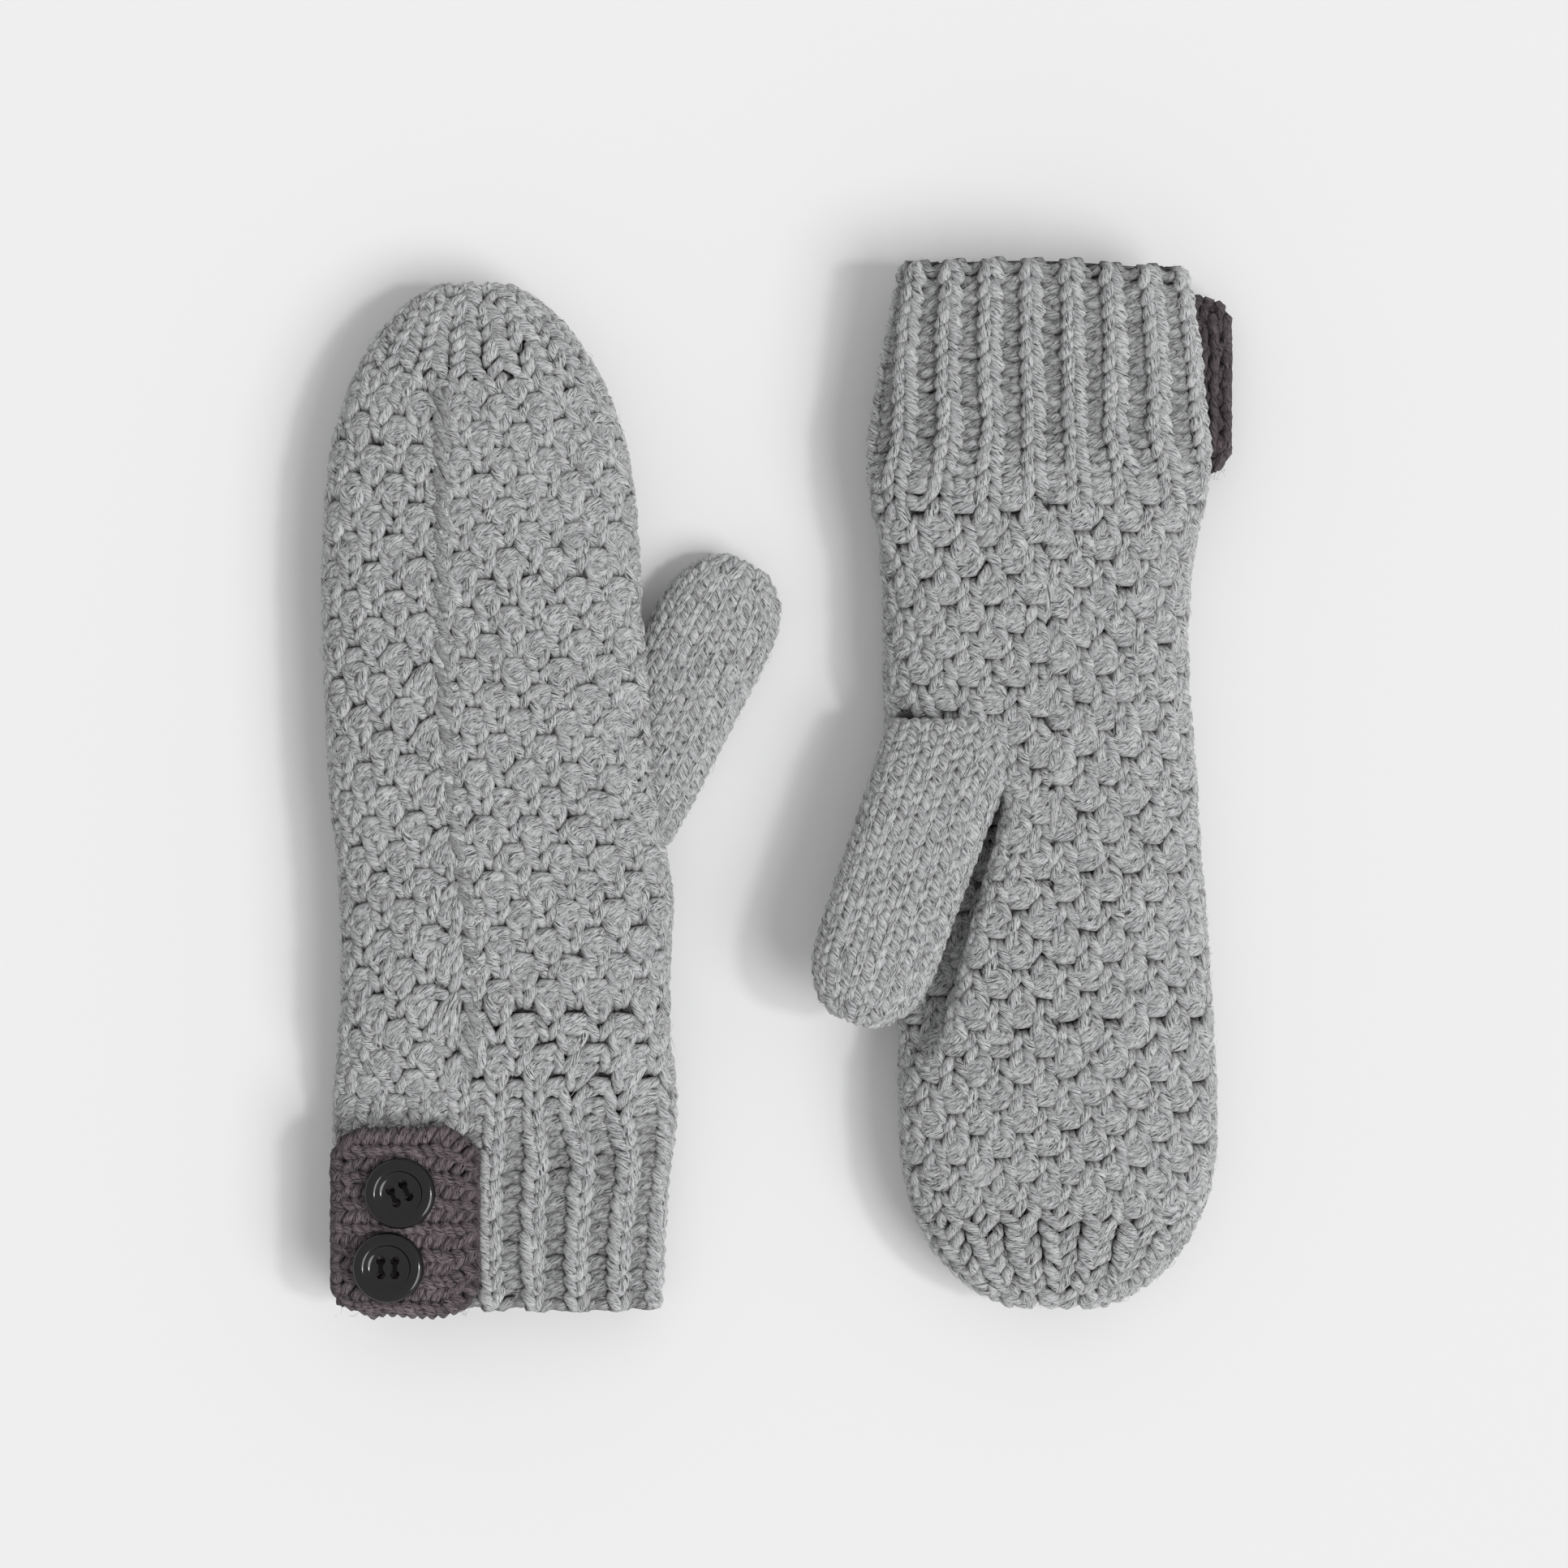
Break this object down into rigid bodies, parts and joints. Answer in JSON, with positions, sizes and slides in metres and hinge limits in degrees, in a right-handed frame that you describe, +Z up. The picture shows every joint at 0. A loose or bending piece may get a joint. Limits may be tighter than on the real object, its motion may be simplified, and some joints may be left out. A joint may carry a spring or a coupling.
{
  "type": "knitted mittens",
  "caption": "Pair of chunky hand-knitted mittens with ribbed cuffs, each with a dark strap tab held by glossy buttons.",
  "frame": {"origin": "centre of the pair's footprint, on the surface it lies on", "axes": "+Y from the left mitten's cuff to its finger tip, +X from the left mitten to the right one, +Z up"},
  "size_m": [0.2312, 0.2694, 0.029],
  "materials": {
    "heather_yarn": "soft fluffy light grey heather wool, knitted",
    "seam_yarn": "the same wool, sewn",
    "charcoal_yarn": "charcoal heather wool, knitted",
    "black_gloss_plastic": "polished",
    "black_thread": "twisted sewing thread"
  },
  "bodies": {
    "left_hand": {"left_hand": "heather_yarn", "left_side_seam": "seam_yarn", "left_thumb_join": "seam_yarn"},
    "left_fingers": {"left_finger_pocket": "heather_yarn", "left_finger_seam": "seam_yarn", "left_tip_gather": "heather_yarn"},
    "left_thumb": {"left_thumb": "heather_yarn", "left_thumb_gather": "heather_yarn"},
    "left_cuff": {"left_cuff": "heather_yarn", "left_tab": "charcoal_yarn"},
    "left_upper_button": {"left_upper_button": "black_gloss_plastic", "left_upper_button_thread": "black_thread"},
    "left_lower_button": {"left_lower_button": "black_gloss_plastic", "left_lower_button_thread": "black_thread"},
    "right_hand": {"right_hand": "heather_yarn", "right_side_seam": "seam_yarn", "right_thumb_join": "seam_yarn"},
    "right_fingers": {"right_finger_pocket": "heather_yarn", "right_finger_seam": "seam_yarn", "right_tip_gather": "heather_yarn"},
    "right_thumb": {"right_thumb": "heather_yarn", "right_thumb_gather": "heather_yarn"},
    "right_cuff": {"right_cuff": "heather_yarn", "right_tab": "charcoal_yarn"},
    "right_upper_button": {"right_upper_button": "black_gloss_plastic", "right_upper_button_thread": "black_thread"},
    "right_lower_button": {"right_lower_button": "black_gloss_plastic", "right_lower_button_thread": "black_thread"}
  },
  "joints": [
    {"name": "mittens_apart", "type": "slide", "parent": "left_hand", "child": "right_hand", "axis": [1, 0, 0], "range_m": [0, 0.05]},
    {"name": "left_finger_fold", "type": "hinge", "parent": "left_hand", "child": "left_fingers", "pos_m": [-0.06913, 0.06774, 0.027], "axis": [1, 0, 0], "range_deg": [0, 60]},
    {"name": "left_thumb_swing", "type": "hinge", "parent": "left_hand", "child": "left_thumb", "pos_m": [-0.03643, 0.00215, 0.00675], "axis": [0, 0, -1], "range_deg": [-3, 20]},
    {"name": "left_wrist_fold", "type": "hinge", "parent": "left_hand", "child": "left_cuff", "pos_m": [-0.06913, -0.08345, 0.0175], "axis": [-1, 0, 0], "range_deg": [0, 60]},
    {"name": "left_upper_button_turn", "type": "hinge", "parent": "left_cuff", "child": "left_upper_button", "pos_m": [-0.09508, -0.10272, 0.0217], "axis": [0, 0, 1], "range_deg": [-20, 20]},
    {"name": "left_lower_button_turn", "type": "hinge", "parent": "left_cuff", "child": "left_lower_button", "pos_m": [-0.09804, -0.12138, 0.0217], "axis": [0, 0, 1], "range_deg": [-20, 20]},
    {"name": "right_finger_fold", "type": "hinge", "parent": "right_hand", "child": "right_fingers", "pos_m": [0.06707, -0.07051, 0.027], "axis": [-1, 0, 0], "range_deg": [0, 60]},
    {"name": "right_thumb_swing", "type": "hinge", "parent": "right_hand", "child": "right_thumb", "pos_m": [0.03937, -0.00135, 0.02225], "axis": [0, 0, -1], "range_deg": [-3, 20]},
    {"name": "right_wrist_fold", "type": "hinge", "parent": "right_hand", "child": "right_cuff", "pos_m": [0.06707, 0.07675, 0.027], "axis": [1, 0, 0], "range_deg": [0, 60]},
    {"name": "right_upper_button_turn", "type": "hinge", "parent": "right_cuff", "child": "right_upper_button", "pos_m": [0.09184, 0.09452, 0.0053], "axis": [0, 0, 1], "range_deg": [-20, 20]},
    {"name": "right_lower_button_turn", "type": "hinge", "parent": "right_cuff", "child": "right_lower_button", "pos_m": [0.0948, 0.11318, 0.0053], "axis": [0, 0, 1], "range_deg": [-20, 20]}
  ]
}
